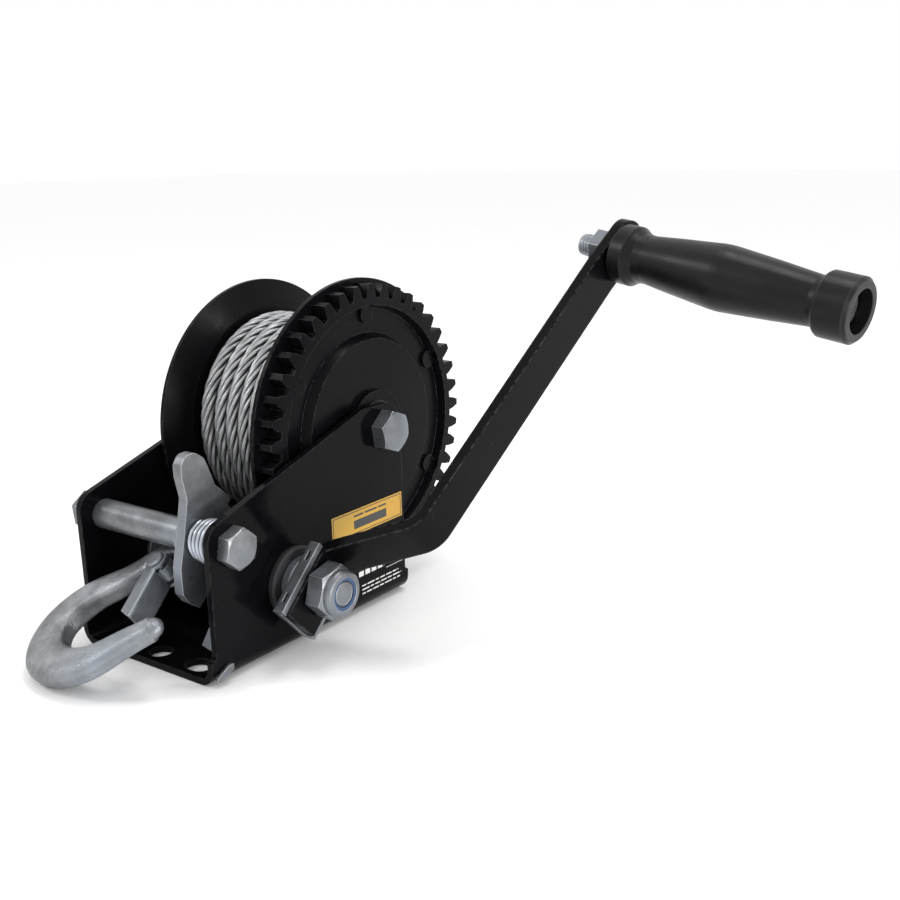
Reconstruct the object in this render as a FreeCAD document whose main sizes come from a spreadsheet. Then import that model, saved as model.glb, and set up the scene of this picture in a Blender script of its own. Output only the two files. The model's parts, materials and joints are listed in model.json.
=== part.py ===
"""Boat trailer winch, as a parametric FreeCAD document.

X runs across the winch along its shafts (the crank is on +X), Y runs from the hook side
(-Y) to the drum side (+Y), and Z is up. The origin is the centre of the base's bolt holes,
on the underside of the base. Millimetres.
"""
import FreeCAD
import Part
import Sketcher
import math
import os
import re

V = FreeCAD.Vector
doc = FreeCAD.newDocument("winch")

# ---------------------------------------------------------------- driving dimensions
SIZES = [
    # the folded frame
    ("inner_width", 80), ("sheet", 3), ("bend_out", 8), ("front", 63.5), ("rear", 63.5),
    ("front_step", 3), ("rear_step", 2.2), ("step_height", 11), ("corner_y", -54.5), ("corner_z", 61.8),
    ("corner_radius", 9), ("ear_y", 36.5), ("ear_radius", 7), ("top_z", 99.4),
    ("rear_corner", 11.5), ("bolt_dx", 50), ("bolt_dy", 116), ("base_hole", 11),
    ("base_slot", 14),
    # the three shafts that cross the frame
    ("tie_y", -50.5), ("tie_z", 58.4), ("pinion_y", -15.3), ("pinion_z", 31.5),
    ("drum_y", 51.5), ("drum_z", 86.4),
    # drum
    ("hub_outer", 19), ("hub_inner", 14), ("hub_half", 38.8), ("pack_radius", 52.6),
    ("left_face", -31), ("flange_sheet", 2.5), ("left_rim_x", -38.2), ("left_rim", 67.9),
    ("left_shoulder", 58.5), ("right_face", 25.2), ("right_sheet", 2), ("right_rim", 71.6),
    ("gear_out", 36), ("gear_web", 4), ("dish_radius", 46), ("web_radius", 57.5),
    ("rivet_circle", 55), ("rivet_radius", 3), ("rivet_count", 6), ("rivet_turn", 28),
    ("sleeve_outer", 9.5), ("bush_outer", 13.95), ("bush_inner", 9.56), ("bush_length", 22),
    # gear pair and ratchet
    ("gear_teeth", 41), ("pinion_teeth", 12), ("module", 3.25), ("pressure", 20),
    ("backlash", 0.25), ("pinion_in", 27.9), ("pinion_out", 37), ("ratchet_teeth", 12),
    ("ratchet_tip", 26), ("ratchet_root", 19.6), ("ratchet_in", 19.9), ("ratchet_out", 24.3),
    # pinion shaft and its bushes
    ("journal", 8), ("bush_wall", 11), ("shaft_body", 9), ("shaft_left", -45),
    ("bush_flange", 14), ("bush_flange_x", 2), ("ring_radius", 16.3), ("ring_out", 46),
    ("collar_radius", 12.4), ("collar_out", 51), ("stud_radius", 6), ("stud_end", 72.2),
    # crank: the arm lies at crank_angle from +Y, in its own frame it runs along x
    ("crank_angle", 43.5), ("arm_width", 21), ("arm_sheet", 5), ("bracket_sheet", 3),
    ("bracket_wide", 27.2), ("bracket_back", -19.5), ("bracket_front", 15),
    ("bracket_out", 57.8), ("bracket_slot", 4.6), ("arm_back", -19), ("arm_bend_a", 14), ("arm_bend_b", 36),
    ("arm_out", 98.5), ("arm_lean", 9.3), ("arm_long", 180.5), ("arm_hole", 163.5),
    ("arm_tip_lean", 12.2), ("arm_tip", 32),
    # grip, along its own axis from the arm's outer face
    ("grip_start", 1.8), ("grip_length", 121), ("grip_neck", 11.2), ("grip_belly", 14.8),
    ("grip_taper", 11), ("grip_collar", 13.9), ("grip_cap", 14.2), ("grip_bore", 5.02),
    ("grip_recess", 9.6), ("recess_deep", 12),
    # standard fasteners: half across flats, shank radius, head and nut heights
    ("hex14", 10.9), ("hex12", 9), ("head12", 7.5), ("nut12", 12), ("shank12", 5.95), ("hex10", 8),
    ("head10", 6.4), ("nut10", 8), ("shank10", 4.95), ("washer12", 12), ("washer10", 10),
    ("washer_sheet", 1.5),
    # tie tube and pawl
    ("tube_outer", 6.8), ("tube_inner", 5.2), ("pawl_in", 19.7), ("pawl_out", 24.7),
    ("pawl_play", 0.08), ("spring_gap", 0.4), ("spring_small", 9.2), ("spring_large", 11.2),
    ("spring_wire", 2.2),
    # hook: its eye's centre and its flat's tilt, and the cable that holds it
    ("eye_x", 3.3), ("eye_y", -39.8), ("eye_z", 50.9), ("eye_hole", 5.3), ("eye_outer", 10.5),
    ("cable", 6), ("loop_y", -31.8), ("loop_z", 54.9), ("loop_radius", 8.2),
    ("latch_wide", 6.4), ("latch_sheet", 1.2), ("latch_pin", 1.6),
    # stickers
    ("label_sheet", 0.2),
]
sheet = doc.addObject("Spreadsheet::Sheet", "sizes")
for row, (alias, size) in enumerate(SIZES, start=1):
    sheet.set(f"A{row}", alias)
    sheet.set(f"B{row}", str(size))
    sheet.setAlias(f"B{row}", alias)
doc.recompute()
WORK_CELL = "D1"


def number(expression):
    """The value now of an expression in the sheet's aliases."""
    sheet.set(WORK_CELL, f"={expression}")
    sheet.recompute()
    return float(sheet.get(WORK_CELL))


def formula(expression):
    """The same expression as another object of the document has to write it."""
    return re.sub(r"\b([A-Za-z_]\w*)\b(?!\s*\()", r"sizes.\1", str(expression))


def bind(item, **places):
    """Bind properties of an object to expressions; Base_x means Placement.Base.x."""
    for name, expression in places.items():
        path = f"Placement.Base.{name[-1]}" if name.startswith("Base_") else name
        item.setExpression(path, formula(expression))


# ---------------------------------------------------------------- helpers for bodies
SUBPARTS = []


def keep(item, label):
    item.Label = label
    SUBPARTS.append(item)
    return item


def new_body(label, kept=True):
    body = doc.addObject("PartDesign::Body", label)
    return keep(body, label) if kept else body


def plane(body, role):
    return next(f for f in body.Origin.OriginFeatures if f.Role == role)


def new_sketch(body, role, offset=None):
    sketch = body.newObject("Sketcher::SketchObject", body.Name + "_sketch")
    sketch.AttachmentSupport = [(plane(body, role), "")]
    sketch.MapMode = "FlatFace"
    if offset:
        sketch.setExpression("AttachmentOffset.Base.z", formula(offset))
    return sketch


def add_polygon(sketch, corners):
    """A closed outline whose corners are pairs of expressions, each one constrained."""
    points = [V(number(a), number(b), 0) for a, b in corners]
    first = sketch.GeometryCount
    count = len(points)
    for i in range(count):
        sketch.addGeometry(Part.LineSegment(points[i], points[(i + 1) % count]), False)
    for i in range(count):
        after = first + (i + 1) % count
        sketch.addConstraint(Sketcher.Constraint("Coincident", first + i, 2, after, 1))
    for i, (a, b) in enumerate(corners):
        for kind, expression, size in (("DistanceX", a, points[i].x), ("DistanceY", b, points[i].y)):
            index = sketch.addConstraint(Sketcher.Constraint(kind, -1, 1, first + i, 1, size))
            if re.search("[A-Za-z]", str(expression)):
                sketch.setExpression(f"Constraints[{index}]", formula(expression))


def add_circle(sketch, a, b, radius):
    centre = V(number(a), number(b), 0)
    index = sketch.addGeometry(Part.Circle(centre, V(0, 0, 1), number(radius)), False)
    for kind, expression, size in (("DistanceX", a, centre.x), ("DistanceY", b, centre.y)):
        bound = sketch.addConstraint(Sketcher.Constraint(kind, -1, 1, index, 3, size))
        if re.search("[A-Za-z]", str(expression)):
            sketch.setExpression(f"Constraints[{bound}]", formula(expression))
    bound = sketch.addConstraint(Sketcher.Constraint("Radius", index, number(radius)))
    sketch.setExpression(f"Constraints[{bound}]", formula(radius))


def add_pad(body, sketch, length, midplane=False):
    pad = body.newObject("PartDesign::Pad", body.Name + "_pad")
    pad.Profile = sketch
    pad.SideType = "Symmetric" if midplane and hasattr(pad, "SideType") else "One side"
    pad.setExpression("Length", formula(length))
    sketch.Visibility = False
    return pad


def add_pocket(body, sketch):
    """Cut the sketch right through the body, both ways from its plane."""
    pocket = body.newObject("PartDesign::Pocket", body.Name + "_pocket")
    pocket.Profile = sketch
    pocket.SideType = "Symmetric"
    pocket.Type = "ThroughAll"
    return pocket


def turned(label, corners, at=("0", "0"), kept=True):
    """A turned piece on an axis along X through (y, z): corners are (x, radius)."""
    body = new_body(label, kept)
    sketch = new_sketch(body, "XY_Plane")
    add_polygon(sketch, corners)
    spin = body.newObject("PartDesign::Revolution", label + "_turned")
    spin.Profile = sketch
    spin.ReferenceAxis = (sketch, ["H_Axis"])
    spin.Angle = 360
    bind(body, Base_y=at[0], Base_z=at[1])
    return body


def hex_corners(half_flats):
    """The six corners of a hexagon whose flats lie half_flats from its centre."""
    side = f"{half_flats} / sqrt(3)"
    return [(f"2 * {side}", "0"), (side, half_flats), (f"-{side}", half_flats),
            (f"-2 * {side}", "0"), (f"-{side}", f"-{half_flats}"), (side, f"-{half_flats}")]


def hex_piece(label, start, length, half_flats, bore, at, turn, kept=True):
    """A hexagon across X from start, with a bore if bore is given."""
    body = new_body(label, kept)
    sketch = new_sketch(body, "YZ_Plane", start)
    add_polygon(sketch, hex_corners(half_flats))
    if bore:
        add_circle(sketch, "0", "0", bore)
    add_pad(body, sketch, length)
    bind(body, Base_y=at[0], Base_z=at[1])
    body.Placement = FreeCAD.Placement(body.Placement.Base, FreeCAD.Rotation(V(1, 0, 0), turn))
    return body


def washer(label, start, thickness, outer, inner, at):
    end = f"{start} + {thickness}"
    return turned(label, [(start, inner), (start, outer), (end, outer), (end, inner)], at)


def feature(label, shape):
    item = doc.addObject("Part::Feature", label)
    item.Shape = shape
    return keep(item, label)


def cut(label, base, tools):
    """Part::Cut of one object by the fusion of others, kept under the label."""
    tool = tools[0]
    if len(tools) > 1:
        tool = doc.addObject("Part::MultiFuse", label + "_tools")
        tool.Shapes = tools
    result = doc.addObject("Part::Cut", label)
    result.Base = base
    result.Tool = tool
    return keep(result, label)


def fuse(label, items):
    result = doc.addObject("Part::MultiFuse", label)
    result.Shapes = items
    return keep(result, label)


def rod(label, start, length, radius, at):
    """A plain cylinder along X, used as part of a piece or to cut one."""
    item = doc.addObject("Part::Cylinder", label)
    item.Placement = FreeCAD.Placement(V(0, 0, 0), FreeCAD.Rotation(V(0, 1, 0), 90))
    bind(item, Radius=radius, Height=length, Base_x=start, Base_y=at[0], Base_z=at[1])
    return item


TIE = ("tie_y", "tie_z")
PINION = ("pinion_y", "pinion_z")
DRUM = ("drum_y", "drum_z")
PLATE_IN = "inner_width / 2"
PLATE_OUT = "inner_width / 2 + sheet"


# ---------------------------------------------------------------- frame
def tangent_point(centre_a, radius_a, centre_b, radius_b):
    """Where the outer tangent above two circles touches the first, and the second."""
    line = centre_b - centre_a
    angle = math.atan2(line.y, line.x) + math.pi / 2
    angle -= math.asin((radius_a - radius_b) / line.Length)
    normal = V(math.cos(angle), math.sin(angle), 0)
    return centre_a + normal * radius_a, centre_b + normal * radius_b, angle


def make_frame():
    """A U folded from one sheet: base, two side plates with rounded ears, and holes."""
    body = new_body("frame")
    section = new_sketch(body, "XZ_Plane", "front + front_step")
    half, inner, tall = "inner_width / 2 + sheet", PLATE_IN, "top_z"
    corners = [(f"-({half})", "0"), (half, "0"), (half, tall), (inner, tall),
               (inner, "sheet"), (f"-({inner})", "sheet"), (f"-({inner})", tall),
               (f"-({half})", tall)]
    add_polygon(section, corners)
    pad = add_pad(body, section, "front + front_step + rear + rear_step")
    pad.Reversed = True
    doc.recompute()
    names = [f"Edge{i}" for i, edge in enumerate(pad.Shape.Edges, start=1)
             if is_bend(edge, number(half), 0)]
    outside = body.newObject("PartDesign::Fillet", "outer_bends")
    outside.Base = (pad, names)
    bind(outside, Radius="bend_out")
    doc.recompute()
    names = [f"Edge{i}" for i, edge in enumerate(outside.Shape.Edges, start=1)
             if is_bend(edge, number(inner), number("sheet"))]
    inside = body.newObject("PartDesign::Fillet", "inner_bends")
    inside.Base = (outside, names)
    bind(inside, Radius="bend_out - sheet")
    doc.recompute()
    add_pocket(body, plate_waste(body))
    holes = new_sketch(body, "YZ_Plane")
    add_circle(holes, *TIE, "shank10 + 0.3")
    add_circle(holes, *PINION, "bush_wall")
    add_circle(holes, *DRUM, "shank12 + 0.3")
    add_pocket(body, holes)
    base = new_sketch(body, "XY_Plane")
    for side in ("", "-"):
        add_circle(base, "0", f"{side}bolt_dy / 2", "base_hole / 2")
        for end in ("", "-"):
            add_slot(base, f"{end}bolt_dx / 2", f"{side}bolt_dy / 2")
    pocket = body.newObject("PartDesign::Pocket", "base_holes")
    pocket.Profile = base
    pocket.SideType = "Symmetric"
    pocket.setExpression("Length", formula("4 * sheet"))
    clip = new_sketch(body, "YZ_Plane")
    add_polygon(clip, [("-58.3", "5.2"), ("-55.5", "5.2"), ("-55.5", "8.6"), ("-58.3", "8.6")])
    slot = body.newObject("PartDesign::Pocket", "clip_slot")
    slot.Profile = clip
    slot.Type = "ThroughAll"
    slot.Reversed = True
    return body


def is_bend(edge, x, z):
    """True for a long edge along Y at this distance from the middle and this height."""
    low = edge.BoundBox
    along = low.YLength > 50
    return along and abs(abs(low.XMin) - x) < 0.01 and abs(low.ZMin - z) < 0.01


def add_slot(sketch, a, b):
    """A base slot that runs along X, centred on (a, b): two lines and two half circles."""
    radius = number("base_hole") / 2
    reach = number("(base_slot - base_hole) / 2")
    centre = V(number(a), number(b), 0)
    along, up = V(reach, 0, 0), V(0, radius, 0)
    right, left, axis = centre + along, centre - along, V(0, 0, 1)
    first = sketch.GeometryCount
    sketch.addGeometry(Part.LineSegment(left + up, right + up), False)
    arc = Part.Circle(right, axis, radius)
    sketch.addGeometry(Part.ArcOfCircle(arc, -math.pi / 2, math.pi / 2), False)
    sketch.addGeometry(Part.LineSegment(right - up, left - up), False)
    arc = Part.Circle(left, axis, radius)
    sketch.addGeometry(Part.ArcOfCircle(arc, math.pi / 2, 3 * math.pi / 2), False)
    tie = Sketcher.Constraint
    sketch.addConstraint(tie("Tangent", first, 2, first + 1, 2))
    sketch.addConstraint(tie("Tangent", first + 1, 1, first + 2, 1))
    sketch.addConstraint(tie("Tangent", first + 2, 2, first + 3, 2))
    sketch.addConstraint(tie("Tangent", first + 3, 1, first, 1))
    for arc, end in ((first + 1, f"{a} + (base_slot - base_hole) / 2"),
                     (first + 3, f"{a} - (base_slot - base_hole) / 2")):
        for kind, expression in (("DistanceX", end), ("DistanceY", b)):
            if arc == first + 3 and kind == "DistanceY":
                continue
            size = number(expression)
            index = sketch.addConstraint(tie(kind, -1, 1, arc, 3, size))
            sketch.setExpression(f"Constraints[{index}]", formula(expression))
    index = sketch.addConstraint(tie("Radius", first + 1, radius))
    sketch.setExpression(f"Constraints[{index}]", formula("base_hole / 2"))
    sketch.addConstraint(tie("Horizontal", first))


def plate_waste(body):
    """What is cut off the side plates: all that lies outside the plate's outline."""
    sketch = new_sketch(body, "YZ_Plane")
    corner = V(number("corner_y"), number("corner_z"), 0)
    ear = V(number("ear_y"), number("top_z - ear_radius"), 0)
    start, arrive, angle = tangent_point(corner, number("corner_radius"), ear, number("ear_radius"))
    front, rear, top = -number("front"), number("rear"), number("top_z")
    turn = V(rear - number("rear_corner"), top - number("rear_corner"), 0)
    foot_z = number("step_height")
    step = number("rear_step")
    lip = number("front_step")
    out = 30
    parts = [
        Part.LineSegment(V(front, foot_z + lip, 0), V(front, corner.y, 0)),
        Part.ArcOfCircle(Part.Circle(corner, V(0, 0, 1), number("corner_radius")), angle, math.pi),
        Part.LineSegment(start, arrive),
        Part.ArcOfCircle(Part.Circle(ear, V(0, 0, 1), number("ear_radius")), math.pi / 2, angle),
        Part.LineSegment(V(ear.x, top, 0), V(turn.x, top, 0)),
        Part.ArcOfCircle(Part.Circle(turn, V(0, 0, 1), number("rear_corner")), 0, math.pi / 2),
        Part.LineSegment(V(rear, turn.y, 0), V(rear, foot_z + step, 0)),
        Part.ArcOfCircle(Part.Circle(V(rear + step, foot_z + step, 0), V(0, 0, 1), step),
                         math.pi, 3 * math.pi / 2),
        Part.LineSegment(V(rear + step, foot_z, 0), V(rear + out, foot_z, 0)),
        Part.LineSegment(V(rear + out, foot_z, 0), V(rear + out, top + out, 0)),
        Part.LineSegment(V(rear + out, top + out, 0), V(front - out, top + out, 0)),
        Part.LineSegment(V(front - out, top + out, 0), V(front - out, foot_z, 0)),
        Part.LineSegment(V(front - out, foot_z, 0), V(front - lip, foot_z, 0)),
        Part.ArcOfCircle(Part.Circle(V(front - lip, foot_z + lip, 0), V(0, 0, 1), lip),
                         3 * math.pi / 2, 2 * math.pi),
    ]
    for part in parts:
        sketch.addGeometry(part, False)
    # start and end points that meet, arcs being drawn anticlockwise
    meets = [(0, 2, 1, 2), (1, 1, 2, 1), (2, 2, 3, 2), (3, 1, 4, 1), (4, 2, 5, 2), (5, 1, 6, 1),
             (6, 2, 7, 1), (7, 2, 8, 1), (8, 2, 9, 1), (9, 2, 10, 1), (10, 2, 11, 1),
             (11, 2, 12, 1), (12, 2, 13, 1), (13, 2, 0, 1)]
    for first, end, second, begin in meets:
        sketch.addConstraint(Sketcher.Constraint("Coincident", first, end, second, begin))
    radii = ((1, "corner_radius"), (3, "ear_radius"), (5, "rear_corner"), (7, "rear_step"),
             (13, "front_step"))
    for index, alias in radii:
        bound = sketch.addConstraint(Sketcher.Constraint("Radius", index, number(alias)))
        sketch.setExpression(f"Constraints[{bound}]", formula(alias))
    centres = ((1, "corner_y", "corner_z"), (3, "ear_y", "top_z - ear_radius"))
    for index, a, b in centres:
        for kind, expression in (("DistanceX", a), ("DistanceY", b)):
            size = number(expression)
            bound = sketch.addConstraint(Sketcher.Constraint(kind, -1, 1, index, 3, size))
            sketch.setExpression(f"Constraints[{bound}]", formula(expression))
    return sketch


# ---------------------------------------------------------------- gear teeth
def involute(base, roll):
    """The point of a base circle's involute at this roll angle, starting on the +x axis."""
    x = base * (math.cos(roll) + roll * math.sin(roll))
    y = base * (math.sin(roll) - roll * math.cos(roll))
    return V(x, y, 0)


def tooth_wire(teeth, outer, root, thin):
    """A spur gear's outline: involute flanks, tips on the outer circle, roots on the root."""
    pitch = number("module") * teeth / 2
    pressure = math.radians(number("pressure"))
    base = pitch * math.cos(pressure)
    inv = math.tan(pressure) - pressure
    half = math.pi / (2 * teeth) - thin / (2 * pitch) + inv
    low = max(root, base)
    rolls = [math.sqrt(max((low + (outer - low) * k / 4) ** 2 / base ** 2 - 1, 0)) for k in range(5)]
    flank = [involute(base, roll) for roll in rolls]
    edges = []
    for k in range(teeth):
        middle = 2 * math.pi * k / teeth
        rising = [turn_point(p, middle - half) for p in flank]
        falling = [turn_point(V(p.x, -p.y, 0), middle + half) for p in reversed(flank)]
        low_in = turn_point(V(root, 0, 0), math.atan2(rising[0].y, rising[0].x))
        low_out = turn_point(V(root, 0, 0), math.atan2(falling[-1].y, falling[-1].x))
        next_low = turn_point(low_in, 2 * math.pi / teeth)
        if base > root:
            edges.append(Part.LineSegment(low_in, rising[0]).toShape())
        edges.append(spline(rising))
        tip = turn_point(V(outer, 0, 0), middle)
        edges.append(Part.Arc(rising[-1], tip, falling[0]).toShape())
        edges.append(spline(falling))
        if base > root:
            edges.append(Part.LineSegment(falling[-1], low_out).toShape())
        valley = turn_point(V(root, 0, 0), middle + math.pi / teeth)
        edges.append(Part.Arc(low_out, valley, next_low).toShape())
    return Part.Wire(edges)


def turn_point(point, angle):
    cos, sin = math.cos(angle), math.sin(angle)
    return V(point.x * cos - point.y * sin, point.x * sin + point.y * cos, point.z)


def spline(points):
    curve = Part.BSplineCurve()
    curve.interpolate(points)
    return curve.toShape()


def stand_across(shape, start, at, turn=0.0):
    """Turn a shape that was drawn about Z so that Z lies along +X and x along +Y."""
    spin = FreeCAD.Rotation(V(1, 0, 0), turn)
    upright = FreeCAD.Rotation(V(0, 1, 0), V(0, 0, 1), V(1, 0, 0), "XYZ")
    place = V(number(start), number(at[0]), number(at[1]))
    shape.Placement = FreeCAD.Placement(place, spin.multiply(upright))
    return shape


def disc_with_bore(wire, length, bore):
    solid = Part.Face(wire).extrude(V(0, 0, length))
    return solid.cut(Part.makeCylinder(bore, length + 2, V(0, 0, -1)))


def drum_to_pinion_angle():
    """The direction of the pinion as seen from the drum's axis, in degrees from +Y."""
    across = number("pinion_y - drum_y")
    up = number("pinion_z - drum_z")
    return math.degrees(math.atan2(up, across))


def make_drum_gear():
    """The ring of teeth on a thinner web, pressed forward inside the dish circle."""
    teeth = int(number("gear_teeth"))
    module = number("module")
    pitch = module * teeth / 2
    thick = number("gear_out - right_face - right_sheet")
    wire = tooth_wire(teeth, pitch + 0.8 * module, pitch - 1.2 * module, number("backlash"))
    solid = disc_with_bore(wire, thick, number("hub_outer"))
    web, ring, dish = number("gear_web"), number("web_radius"), number("dish_radius")
    outer = Part.makeCone(ring, ring + 1.5, thick - web - 0.5, V(0, 0, web + 0.5))
    inner = Part.makeCone(dish, dish - 2.5, thick - web - 0.5, V(0, 0, web + 0.5))
    solid = solid.cut(outer.cut(inner))
    hollow = Part.makeCone(dish - 4.5, dish - 7, thick - web - 1, V(0, 0, -0.001))
    solid = solid.cut(hollow.cut(Part.makeCylinder(number("hub_outer") + 4, thick)))
    for k in range(int(number("rivet_count"))):
        angle = math.radians(number("rivet_turn") + 360 / number("rivet_count") * k)
        spot = V(math.cos(angle), math.sin(angle), 0) * number("rivet_circle")
        solid = solid.cut(Part.makeCylinder(number("rivet_radius") + 0.05, thick, spot))
        solid = solid.cut(Part.makeCylinder(number("rivet_radius") + 1.5, thick, spot + V(0, 0, web)))
    solid = solid.cut(Part.makeCylinder(number("hub_outer") + 0.01, thick))
    return feature("drum_gear", stand_across(solid, "right_face + right_sheet", DRUM))


def make_pinion():
    """The small gear, turned so that one of its valleys takes the drum gear's tooth."""
    teeth = int(number("pinion_teeth"))
    module = number("module")
    pitch = module * teeth / 2
    thick = number("pinion_out - pinion_in")
    wire = tooth_wire(teeth, pitch + 0.92 * module, pitch - 1.2 * module, number("backlash"))
    solid = disc_with_bore(wire, thick, number("shaft_body"))
    toward = drum_to_pinion_angle()
    step = 360 / number("gear_teeth")
    past = toward / step - math.floor(toward / step)
    turn = toward + 180 + (360 / teeth) * (0.5 + past)
    return feature("pinion", stand_across(solid, "pinion_in", PINION, turn))


def make_ratchet():
    """The ratchet wheel: square-ended teeth that a pawl can hold from either side."""
    teeth = int(number("ratchet_teeth"))
    tip, root = number("ratchet_tip"), number("ratchet_root")
    pitch = 2 * math.pi / teeth
    half_tip, half_root = 0.17 * pitch, 0.25 * pitch
    points = []
    for k in range(teeth):
        middle = k * pitch
        points += [turn_point(V(root, 0, 0), middle - half_root),
                   turn_point(V(tip, 0, 0), middle - half_tip),
                   turn_point(V(tip, 0, 0), middle + half_tip),
                   turn_point(V(root, 0, 0), middle + half_root)]
    wire = Part.makePolygon(points + [points[0]])
    thick = number("ratchet_out - ratchet_in")
    solid = disc_with_bore(wire, thick, number("shaft_body"))
    return feature("ratchet_wheel", stand_across(solid, "ratchet_in", PINION, 6.7))


# ---------------------------------------------------------------- drum
def make_drum():
    hub = [("-hub_half", "hub_inner"), ("-hub_half", "hub_outer"),
           ("hub_half", "hub_outer"), ("hub_half", "hub_inner")]
    turned("drum_hub", hub, DRUM)
    left = [("left_face", "hub_outer"), ("left_face", "left_shoulder - 4"),
            ("left_face - 1.5", "left_shoulder"), ("left_rim_x + 1.8", "left_rim"),
            ("left_rim_x", "left_rim"), ("left_face - flange_sheet - 2", "left_shoulder"),
            ("left_face - flange_sheet", "left_shoulder - 5"),
            ("left_face - flange_sheet", "hub_outer")]
    turned("drum_flange_left", left, DRUM)
    disc = rod("disc_blank", "right_face", "right_sheet", "right_rim", DRUM)
    holes = [rod("disc_bore", "right_face - 1", "right_sheet + 2", "hub_outer", DRUM)]
    holes += rivet_rods("disc_hole", "right_face - 1", "right_sheet + 2", "rivet_radius + 0.05")
    cut("drum_flange_right", disc, holes)
    make_drum_gear()
    shanks = rivet_rods("rivet_shank", "right_face", "right_sheet + gear_web", "rivet_radius")
    heads = rivet_rods("rivet_head", "right_face + right_sheet + gear_web + 0.5", "1.6",
                       "rivet_radius + 1.4")
    necks = rivet_rods("rivet_neck", "right_face + right_sheet", "gear_web + 0.5",
                       "rivet_radius")
    fuse("gear_rivets", shanks + heads + necks)
    for label, sign in (("drum_bush_left", "-"), ("drum_bush_right", "")):
        end = f"{sign}hub_half"
        inside = f"{sign}(hub_half - bush_length)"
        ring = [(end, "bush_inner"), (end, "bush_outer"), (inside, "bush_outer"),
                (inside, "bush_inner")]
        turned(label, ring, DRUM)
    sleeve = [(f"-({PLATE_IN})", "shank12 + 0.1"), (f"-({PLATE_IN})", "sleeve_outer"),
              (PLATE_IN, "sleeve_outer"), (PLATE_IN, "shank12 + 0.1")]
    turned("drum_axle_sleeve", sleeve, DRUM)
    pack = [("left_face", "hub_outer"), ("left_face", "pack_radius"),
            ("right_face", "pack_radius"), ("right_face", "hub_outer")]
    turned("wound_cable", pack, DRUM)


def rivet_rods(name, start, length, radius):
    """One rod for each rivet, evenly spaced on the rivet circle."""
    rods = []
    for k in range(int(number("rivet_count"))):
        angle = f"(rivet_turn + 360 / rivet_count * {k})"
        at = (f"drum_y + rivet_circle * cos({angle})", f"drum_z + rivet_circle * sin({angle})")
        rods.append(rod(f"{name}_{k + 1}", start, length, radius, at))
    return rods


# ---------------------------------------------------------------- bolts across the frame
def make_cross_bolt(label, at, start, end, shank, head, head_height, turn):
    """A hex bolt along X: shank from start to end, and its head outside the right plate."""
    stem = rod(label + "_shank", start, f"({end}) - ({start})", shank, at)
    cap = doc.addObject("Part::Feature", label + "_head")
    lift = FreeCAD.Rotation(V(0, 1, 0), 90)
    cap.Shape = hex_prism(number(head), number(head_height))
    place = V(number(end), number(at[0]), number(at[1]))
    spin = FreeCAD.Rotation(V(1, 0, 0), turn + 90)
    cap.Placement = FreeCAD.Placement(place, spin.multiply(lift))
    return fuse(label, [stem, cap])


def make_axle_and_tie():
    left_out = f"-({PLATE_OUT})"
    make_cross_bolt("drum_axle_bolt", DRUM, f"{left_out} - washer_sheet - nut12 - 2",
                    PLATE_OUT, "shank12", "hex12", "head12", 38.7)
    washer("drum_axle_washer", f"{left_out} - washer_sheet", "washer_sheet", "washer12",
           "shank12 + 0.2", DRUM)
    hex_piece("drum_axle_nut", f"{left_out} - washer_sheet - nut12", "nut12", "hex12",
              "shank12", DRUM, 20)
    tube = [(f"-({PLATE_IN})", "tube_inner"), (f"-({PLATE_IN})", "tube_outer"),
            (PLATE_IN, "tube_outer"), (PLATE_IN, "tube_inner")]
    turned("tie_tube", tube, TIE)
    make_cross_bolt("tie_bolt", TIE, f"{left_out} - washer_sheet - nut10 - 2", PLATE_OUT,
                    "shank10", "hex10", "head10", 19)
    washer("tie_washer", f"{left_out} - washer_sheet", "washer_sheet", "washer10",
           "shank10 + 0.2", TIE)
    hex_piece("tie_nut", f"{left_out} - washer_sheet - nut10", "nut10", "hex10", "shank10",
              TIE, 35)


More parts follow.
